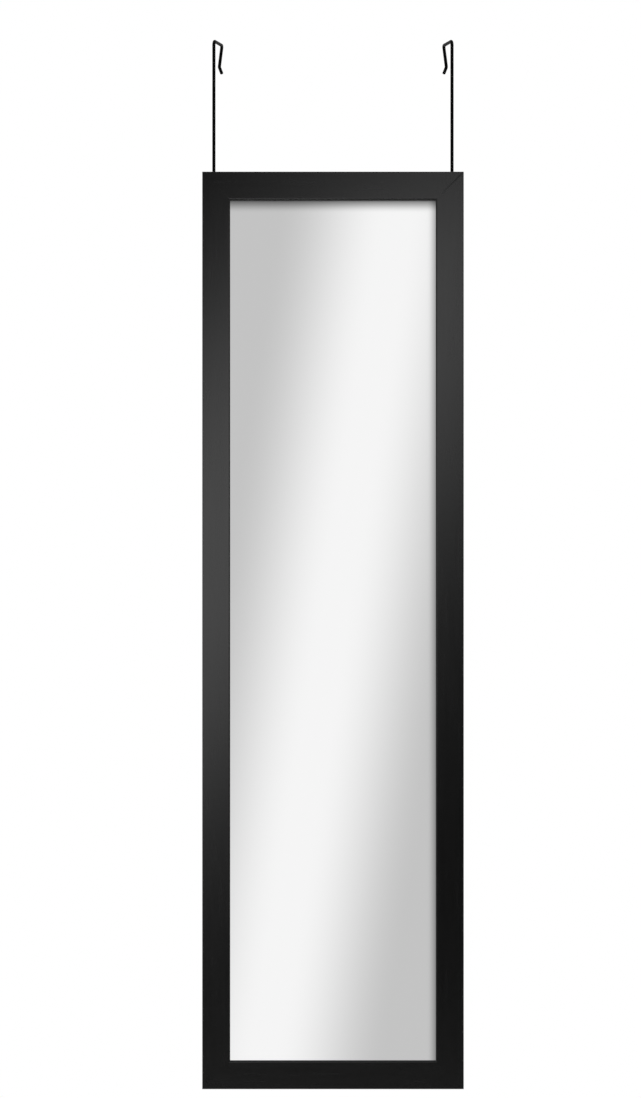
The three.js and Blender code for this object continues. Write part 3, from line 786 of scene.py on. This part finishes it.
reach = max(vertex.co.x for vertex in saddle_pattern.verts)
cuts = int(2 * reach / CUT_SPACING)
for cut in range(1, cuts):
    place = Vector((-reach + 2 * reach * cut / cuts, 0, 0))
    everything = saddle_pattern.verts[:] + saddle_pattern.edges[:] + saddle_pattern.faces[:]
    bmesh.ops.bisect_plane(saddle_pattern, geom=everything, plane_co=place, plane_no=(1, 0, 0), dist=ON_CUT)
for vertex in saddle_pattern.verts:
    x, y = bend_onto_saddle(vertex.co.x, vertex.co.z)
    vertex.co = Vector((x, y, vertex.co.y)) * MM
bmesh.ops.recalc_face_normals(saddle_pattern, faces=saddle_pattern.faces)

for side in ("left", "right"):
    for level in ("upper", "lower"):
        low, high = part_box(f"{side}_{level}_saddle")
        mesh = saddle_pattern.copy()
        wire_y = high.y - (WIRE_RADIUS + WIRE_CLEARANCE + STRAP_THICKNESS) * MM
        mesh.transform(Matrix.Translation(((low.x + high.x) / 2, wire_y, (low.z + high.z) / 2)))
        saddle = make_piece(f"{side}_{level}_stamped_saddle", mesh, zinc_plate, "frame",
                            f"{side}_{level}_saddle")
print(saddle.name, len(saddle.data.vertices), "vertices")

# %% [markdown]
# ## The screw's threaded blank
#
# Eight small pan-head wood screws hold the saddles. The head is a turned dome. The thread is part of the
# same turned skin: the radius rises and falls along a helix, and fades out towards the head and the point.

# %% Turn the screw and cut its thread
HEAD_RADIUS, HEAD_HEIGHT, HEAD_RIM = 2.8, 1.9, 0.7
CREST_RADIUS, ROOT_RADIUS = 1.45, 1.05
SCREW_LENGTH, POINT_LENGTH, THREAD_PITCH = 12.0, 3.0, 1.25
RIDGE_SHARE = 0.4                       # of the pitch that the ridge of the thread takes up
SHARPEST = 0.02                         # radius at the point, as a share of the shank's
PLAIN_SHANK = 2.0                       # mm without thread under the head
SCREW_SIDES, DOME_STEPS, STATIONS_PER_TURN = 40, 12, 10
RIM_ROUNDING = 0.2


def threaded_radius(y, angle):
    """The shank's radius at a height under the head and an angle round it."""
    turn = (-y / THREAD_PITCH + angle / (2 * math.pi)) % 1
    ridge = max(0.0, 1 - abs(turn - 0.5) * 2 / RIDGE_SHARE)
    fade = min(1.0, max(0.0, (-y - PLAIN_SHANK) / THREAD_PITCH))
    body = ROOT_RADIUS + (CREST_RADIUS - ROOT_RADIUS) * ridge * fade
    left = SCREW_LENGTH + y
    return body * min(1.0, max(SHARPEST, left / POINT_LENGTH))


def turned_ring(radius, y, sides):
    """A ring about the Y axis. Its radius is a number, or a function of the angle round the axis."""
    radii = [(radius(a) if callable(radius) else radius, a) for a in circle_angles(sides)]
    return [Vector((r * math.cos(a), y, r * math.sin(a))) * MM for r, a in radii]


def screw_mesh():
    rings = []
    stations = int(SCREW_LENGTH / THREAD_PITCH * STATIONS_PER_TURN)
    for station in range(stations):
        y = -SCREW_LENGTH + SCREW_LENGTH * (station + 0.5) / stations
        rings.append(turned_ring(lambda angle: threaded_radius(y, angle), y, SCREW_SIDES))
    rings.append(turned_ring(ROOT_RADIUS, 0, SCREW_SIDES))
    rings.append(turned_ring(HEAD_RADIUS - RIM_ROUNDING, 0, SCREW_SIDES))
    rings.append(turned_ring(HEAD_RADIUS, RIM_ROUNDING, SCREW_SIDES))
    for step in range(DOME_STEPS):
        angle = math.pi / 2 * step / DOME_STEPS
        dome = (HEAD_HEIGHT - HEAD_RIM) * math.sin(angle)
        rings.append(turned_ring(HEAD_RADIUS * math.cos(angle), HEAD_RIM + dome, SCREW_SIDES))
    return skin(rings, start=Vector((0, -SCREW_LENGTH * MM, 0)), end=Vector((0, HEAD_HEIGHT * MM, 0)))


print("the thread has", round((SCREW_LENGTH - PLAIN_SHANK) / THREAD_PITCH, 1), "turns")

# %% [markdown]
# ## The cross recess
#
# The recess is a cross whose walls taper to the bottom. It is cut with a boolean, because that is just what
# the punch does: a punch of two tapered blades is taken away from the head.

# %% Punch the recess
RECESS_SPAN, RECESS_WIDTH, RECESS_DEPTH = 2.8, 0.8, 1.1
RECESS_TAPER = 0.55                     # size at the bottom of the recess as a share of its size at the top


def punch_mesh():
    """The cross punch: two tapered blades at right angles. They reach as far over the head as into it."""
    mesh = bmesh.new()
    ends = ((HEAD_HEIGHT - RECESS_DEPTH, RECESS_TAPER), (HEAD_HEIGHT + RECESS_DEPTH, 2 - RECESS_TAPER))
    for turn in (0, math.pi / 2):
        corners = []
        for y, share in ends:
            for x, z in ((-1, -1), (1, -1), (1, 1), (-1, 1)):
                corner = Vector((x * RECESS_SPAN / 2 * share, y, z * RECESS_WIDTH / 2 * share)) * MM
                corners.append(mesh.verts.new(Matrix.Rotation(turn, 3, "Y") @ corner))
        for face in ((0, 1, 2, 3), (7, 6, 5, 4), (0, 4, 5, 1), (1, 5, 6, 2), (2, 6, 7, 3), (3, 7, 4, 0)):
            mesh.faces.new([corners[i] for i in face])
    bmesh.ops.recalc_face_normals(mesh, faces=mesh.faces)
    return mesh


def punched_screw():
    blank, punch = object_from("screw_blank", screw_mesh()), object_from("cross_punch", punch_mesh())
    cut = blank.modifiers.new("recess", "BOOLEAN")
    cut.operation = "DIFFERENCE"
    cut.solver = "EXACT"
    cut.use_self = True
    cut.object = punch
    data = bpy.data.meshes.new_from_object(blank.evaluated_get(bpy.context.evaluated_depsgraph_get()))
    bpy.data.objects.remove(blank)
    bpy.data.objects.remove(punch)
    mesh = bmesh.new()
    mesh.from_mesh(data)
    return mesh


screw_pattern = punched_screw()
print("a screw has", len(screw_pattern.verts), "vertices")

# %% [markdown]
# ## The screws in place
#
# Nobody lines up the crosses of screws, so each of the eight stops at a turn of its own.

# %% Drive the screws
TURN_IF_INNER, TURN_IF_UPPER, TURN_IF_LEFT = 0.7, 0.4, 0.25      # radians, added up for each screw

for side in ("left", "right"):
    for level in ("upper", "lower"):
        for place in ("outer", "inner"):
            node_name = f"{side}_{level}_screw_{place}"
            low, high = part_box(node_name)
            mesh = screw_pattern.copy()
            turn = TURN_IF_INNER * (place == "inner") + TURN_IF_UPPER * (level == "upper")
            turn += TURN_IF_LEFT * (side == "left")
            seat = Vector(((low.x + high.x) / 2, high.y - HEAD_HEIGHT * MM, (low.z + high.z) / 2))
            mesh.transform(Matrix.Rotation(turn, 4, "Y"))
            mesh.transform(Matrix.Translation(seat))
            screw = make_piece(f"{side}_{level}_pan_screw_{place}", mesh, zinc_plate, "frame",
                               node_name)
print(screw.name, "sits at", [round(v / MM, 1) for v in seat], "mm")

# %% [markdown]
# ## The bumpers
#
# Two rubber bumpers at the lower corners keep the frame as far off the door as the saddles do. They are
# small moulded domes with a flat end: turned profiles with soft transitions.

# %% Mould the bumpers
BUMPER_RADIUS, BUMPER_FACE_RADIUS, BUMPER_RIM = 6.0, 3.6, 1.2
BUMPER_FOOT_ROUNDING = 0.3
BUMPER_SIDES, BUMPER_STEPS = 64, 16
FACE_RING = 0.5                         # where a ring divides the flat end, as a share of its radius


def bumper_mesh(height):
    rings = [turned_ring(BUMPER_RADIUS - BUMPER_FOOT_ROUNDING, 0, BUMPER_SIDES),
             turned_ring(BUMPER_RADIUS, BUMPER_FOOT_ROUNDING, BUMPER_SIDES)]
    for step in range(BUMPER_STEPS + 1):
        angle = math.pi / 2 * step / BUMPER_STEPS
        radius = BUMPER_FACE_RADIUS + (BUMPER_RADIUS - BUMPER_FACE_RADIUS) * math.cos(angle)
        rings.append(turned_ring(radius, BUMPER_RIM + (height - BUMPER_RIM) * math.sin(angle), BUMPER_SIDES))
    rings.append(turned_ring(BUMPER_FACE_RADIUS * FACE_RING, height, BUMPER_SIDES))
    return skin(rings, start=Vector((0, 0, 0)), end=Vector((0, height * MM, 0)))


for side in ("left", "right"):
    low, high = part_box(f"{side}_bumper")
    mesh = bumper_mesh((high.y - low.y) / MM)
    mesh.transform(Matrix.Translation(((low.x + high.x) / 2, low.y, (low.z + high.z) / 2)))
    bumper = make_piece(f"{side}_moulded_bumper", mesh, rubber, "frame", f"{side}_bumper",
                        smooth_below=30)
print(bumper.name, len(bumper.data.vertices), "vertices")

# %% [markdown]
# ## The floor
#
# The floor is a pale disc as far below the door's top as a real floor is. It fades out before its rim, so
# that it keeps the object's soft shadow and has no edge.

# %% Lay the floor
FLOOR_DROP = 2.03                           # metres from the top of a door to the floor
FLOOR_RADIUS, FLOOR_SIDES = 3.3, 128        # metres
FADE_START, FADE_END = 1.4, 0.97 * FLOOR_RADIUS
SPECKLE_SIZE = 30                           # mm

floor_mesh = bmesh.new()
bmesh.ops.create_circle(floor_mesh, cap_ends=True, segments=FLOOR_SIDES, radius=FLOOR_RADIUS)
floor = object_from("floor", floor_mesh)
floor.location.z = -FLOOR_DROP
floor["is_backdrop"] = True

material, tree = empty_material("pale_floor")
place = add(tree, "TexCoord").outputs["Object"]
distance = add(tree, "VectorMath", {0: place}, operation="LENGTH").outputs["Value"]
fade = add(tree, "MapRange", {"Value": distance, "From Min": FADE_START, "From Max": FADE_END},
           interpolation_type="SMOOTHSTEP").outputs[0]
speckle = add(tree, "TexNoise", {"Vector": place, "Scale": 1 / (SPECKLE_SIZE * MM), "Detail": 3.0}).outputs[0]
paint = add(tree, "Mix", {SHARE: speckle, FIRST: linear("#efefee"), SECOND: linear("#f3f3f2")},
            data_type="RGBA").outputs[MIXED]
matt = add(tree, "BsdfDiffuse", {"Color": paint}).outputs[0]
clear = add(tree, "BsdfTransparent").outputs[0]
blend = add(tree, "MixShader", {0: fade, 1: matt, 2: clear}).outputs[0]
add(tree, "OutputMaterial", {"Surface": blend})
floor.data.materials.append(material)
print("floor", FLOOR_DROP, "m below the top of the door")

# %% [markdown]
# ## The room
#
# The photograph has a plain white ground. The world gives it: rays from the camera see white, and so do
# reflections, except towards the photographer's end of the room, which is dim, as any studio's is. Black
# lacquer needs that dim end, because a black frame that mirrors a white room is a grey frame. All other
# rays get an even, soft light at which a colour looks as it is written. It is so even that it needs no
# sampling like a lamp's.

# %% Light the room
WHITE = linear("#ffffff")
SOFT_LIGHT = 0.9                            # strength of the even light
DIM_END = 0.01                              # brightness of the photographer's end, as reflections see it
DIM_FROM, DIM_FULL = 0.35, 0.8              # how squarely a ray must head for that end

world = bpy.data.worlds.new("plain_studio")
bpy.context.scene.world = world
world.use_nodes = True
world.cycles.sampling_method = "NONE"
tree = world.node_tree
tree.nodes.clear()
rays = add(tree, "LightPath").outputs
heading = add(tree, "SeparateXYZ", {0: add(tree, "TexCoord").outputs["Generated"]}).outputs["Y"]
towards_front = add(tree, "Math", {0: heading, 1: -1.0}, operation="MULTIPLY").outputs[0]
dimness = add(tree, "MapRange", {"Value": towards_front, "From Min": DIM_FROM, "From Max": DIM_FULL},
              interpolation_type="SMOOTHSTEP").outputs[0]
dim_share = add(tree, "Math", {0: dimness, 1: rays["Is Glossy Ray"]}, operation="MULTIPLY").outputs[0]
backdrop = add(tree, "Mix", {SHARE: dim_share, FIRST: WHITE, SECOND: (DIM_END, DIM_END, DIM_END, 1)},
               data_type="RGBA").outputs[MIXED]
seen = add(tree, "Background", {"Color": backdrop, "Strength": 1.0}).outputs[0]
lighting = add(tree, "Background", {"Color": WHITE, "Strength": SOFT_LIGHT}).outputs[0]
sees_backdrop = rays["Is Camera Ray"]
for kind in ("Is Glossy Ray", "Is Transmission Ray"):
    sees_backdrop = add(tree, "Math", {0: sees_backdrop, 1: rays[kind]}, operation="MAXIMUM").outputs[0]
room = add(tree, "MixShader", {0: sees_backdrop, 1: lighting, 2: seen}).outputs[0]
add(tree, "OutputWorld", {"Surface": room})
print("the even light has strength", SOFT_LIGHT)

# %% [markdown]
# ## The strip light that draws the sheen
#
# On the frame the photograph shows one broad, soft sheen. It crosses the left stile near its middle and the
# right stile near its top, and it narrows on its way up. So it is the mirrored image of one slanting lamp,
# a long oval that is widest in its middle. A mirrored thing appears where the line from the camera to its
# mirror image meets the surface, so we choose two points of the sheen on the frame and work back to where
# the ends of the lamp must hang in front of it. The glass is left out of its light, because in the
# photograph it shows something else.

# %% Hang the strip light
STRIP_AHEAD = 1.6                                # metres in front of the frame's face
STRIP_END_PIXELS = ((-135, 960), (535, 150))     # where its ends are mirrored; one is outside the picture
STRIP_WIDTH = 0.5                                # metres, in its middle
STRIP_POWER = 4.3                                # watts


def on_face(pixel):
    """The point of the frame's front face that a pixel of the photograph shows."""
    x = (pixel[0] - FRAME_CENTRE_PIXEL[0]) / PIXELS_PER_MM * MM
    z = frame_centre_z + (FRAME_CENTRE_PIXEL[1] - pixel[1]) / PIXELS_PER_MM * MM
    return Vector((x, face_y, z))


def seen_mirrored_at(point, ahead):
    """Where a thing must be, ahead of the frame's face, for the camera to see its reflection at a point."""
    spread = (CAMERA_DISTANCE + ahead) / CAMERA_DISTANCE
    place = camera_place + (point - camera_place) * spread
    place.y = face_y - ahead
    return place


strip_ends = [seen_mirrored_at(on_face(pixel), STRIP_AHEAD) for pixel in STRIP_END_PIXELS]
strip = bpy.data.objects.new("strip_light", bpy.data.lights.new("strip_light", "AREA"))
strip.data.shape = "ELLIPSE"
strip.data.size, strip.data.size_y = STRIP_WIDTH, (strip_ends[1] - strip_ends[0]).length
strip.data.energy = STRIP_POWER
backwards = Vector((0, -1, 0))
lengthwise = (strip_ends[1] - strip_ends[0]).normalized()
crosswise = lengthwise.cross(backwards)
strip.matrix_world = Matrix.Translation((strip_ends[0] + strip_ends[1]) / 2) @ Matrix(
    (crosswise, lengthwise, backwards)).transposed().to_4x4()
bpy.context.scene.collection.objects.link(strip)

all_but_glass = bpy.data.collections.new("all_but_the_glass")
all_but_glass.objects.link(frame["nodes"]["mirror_glass"])
all_but_glass.collection_objects[0].light_linking.link_state = "EXCLUDE"
strip.light_linking.receiver_collection = all_but_glass
print("strip light at", [round(v, 3) for v in strip.matrix_world.translation])

# %% [markdown]
# ## The card that the mirror shows
#
# A mirror has no look of its own: it shows what stands before it. In the photograph that is a plain
# graduated card, pale grey with a bright band that leans to the right as it rises. Along the top and the
# right the glass also darkens softly under the frame's lip; that is painted shade, drawn into the card.
#
# So we stand such a card behind the camera. The camera sees, at each point of the glass, the point of the
# card that lies on the mirrored ray. That is a plain enlargement about the camera, so if the card's object
# is scaled by that enlargement, its own coordinates are coordinates on the glass, and the gradient can be
# written in real sizes there. Only the glass receives the card's light, and only reflections see it.

# %% Stand the card behind the camera
CARD_Y = -6.2                                   # metres
CARD_MARGIN = 30                                # mm beyond the sight edges on each side

glass_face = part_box("mirror_glass")[0].y
enlargement = (glass_face - CARD_Y) / (glass_face - camera_place.y)
left, right = sight_left - CARD_MARGIN * MM, sight_right + CARD_MARGIN * MM
bottom, top = sight_bottom - CARD_MARGIN * MM, sight_top + CARD_MARGIN * MM

card_mesh = bmesh.new()
corners = [(left, bottom), (right, bottom), (right, top), (left, top)]
card_mesh.faces.new([card_mesh.verts.new((x, 0, z)) for x, z in corners])
card = object_from("graduated_card", card_mesh)
card.location = (-enlargement * camera_place.x, CARD_Y, -enlargement * camera_place.z)
card.scale = (1 + enlargement,) * 3
card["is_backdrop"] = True
for kind in ("camera", "diffuse", "transmission", "volume_scatter", "shadow"):
    setattr(card, "visible_" + kind, False)
only_glass = bpy.data.collections.new("only_the_glass")
only_glass.objects.link(frame["nodes"]["mirror_glass"])
card.light_linking.receiver_collection = only_glass
print("the card is enlarged", round(1 + enlargement, 3), "times")

# %% [markdown]
# ## The card's gradient
#
# The bright band is the distance from a leaning line. The painted shade of the lip is a ramp from the top
# edge and one from the right edge, painted into the card's glow. Close under the top edge the card is
# painted black, a painted reflection of the lip's dark underside in the glass. It is black too for a ray
# that has been mirrored more than once, or the lip would shine in the glass.

# %% Paint the card
BAND_TOP_PIXEL, BAND_BOTTOM_PIXEL = (396, 230), (272, 1010)     # middle of the bright band
BAND_CORE, BAND_HALF_WIDTH = 15, 170            # mm, full brightness and where it ends
CARD_GREY, CARD_BRIGHT = 0.605, 1.01            # linear
# Painted shade of the lip: how dark the card's glow gets at the top and right sight edges, and over how many
# mm.
TOP_SHADE, TOP_SHADE_WIDTH, TOP_SHADE_START = 0.25, 18.3, 0       # darkest share, and mm from the sight edge
SIDE_SHADE, SIDE_SHADE_WIDTH, SIDE_SHADE_START = 0.35, 12, -4
# Painted reflection: a black band of the card, standing in for the lip's dark underside in the glass.
PAINTED_LIP_BAND = 1.75                             # mm below the sight edge that mirror the lip's underside
ONCE = 1.5                                      # between one mirroring and two

band_top, band_bottom = on_face(BAND_TOP_PIXEL), on_face(BAND_BOTTOM_PIXEL)
lean = (band_top.x - band_bottom.x) / (band_top.z - band_bottom.z)

material, tree = empty_material("graduated_card")
card_place = add(tree, "SeparateXYZ", {0: add(tree, "TexCoord").outputs["Object"]}).outputs
band_x = add(tree, "Math", {0: card_place["Z"], 1: lean, 2: band_top.x - lean * band_top.z},
             operation="MULTIPLY_ADD").outputs[0]
off_band = add(tree, "Math", {0: card_place["X"], 1: band_x}, operation="SUBTRACT").outputs[0]
distance = add(tree, "Math", {0: off_band}, operation="ABSOLUTE").outputs[0]
brightness = add(tree, "MapRange", {
    "Value": distance, "From Min": BAND_CORE * MM, "From Max": BAND_HALF_WIDTH * MM,
    "To Min": CARD_BRIGHT, "To Max": CARD_GREY}, interpolation_type="SMOOTHSTEP").outputs[0]
# Painted shade: the card's glow is ramped down towards the top and the right sight edges.
under_top = add(tree, "Math", {0: sight_top, 1: card_place["Z"]}, operation="SUBTRACT").outputs[0]
painted_top_shade = add(tree, "MapRange", {
    "Value": under_top, "From Min": TOP_SHADE_START * MM, "From Max": TOP_SHADE_WIDTH * MM,
    "To Min": TOP_SHADE, "To Max": 1.0}, interpolation_type="SMOOTHSTEP").outputs[0]
from_side = add(tree, "Math", {0: sight_right, 1: card_place["X"]}, operation="SUBTRACT").outputs[0]
painted_side_shade = add(tree, "MapRange", {
    "Value": from_side, "From Min": SIDE_SHADE_START * MM, "From Max": SIDE_SHADE_WIDTH * MM,
    "To Min": SIDE_SHADE, "To Max": 1.0}, interpolation_type="SMOOTHSTEP").outputs[0]
# Painted reflection of the lip: the card is black in a narrow band right under the top sight edge.
outside_painted_lip_band = add(tree, "Math", {0: under_top, 1: PAINTED_LIP_BAND * MM}, operation="GREATER_THAN").outputs[0]
mirrorings = add(tree, "LightPath").outputs["Glossy Depth"]
seen_once = add(tree, "Math", {0: mirrorings, 1: ONCE}, operation="LESS_THAN").outputs[0]
strength = brightness
for share in (painted_top_shade, painted_side_shade, outside_painted_lip_band, seen_once):
    strength = add(tree, "Math", {0: strength, 1: share}, operation="MULTIPLY").outputs[0]
glow = add(tree, "Emission", {"Color": WHITE, "Strength": strength}).outputs[0]
add(tree, "OutputMaterial", {"Surface": glow})
card.data.materials.append(material)
print("the band leans", round(math.degrees(math.atan(lean)), 1), "degrees")

# %% [markdown]
# ## Measure and finish
#
# The dressed model has to stay inside the construction's box, so the dressed box is printed for comparison
# with the construction's box, which was printed at the start.

# %% Write down the sizes and finish
low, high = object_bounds()
print("the dressed box in metres:", [round(v, 4) for v in high - low])
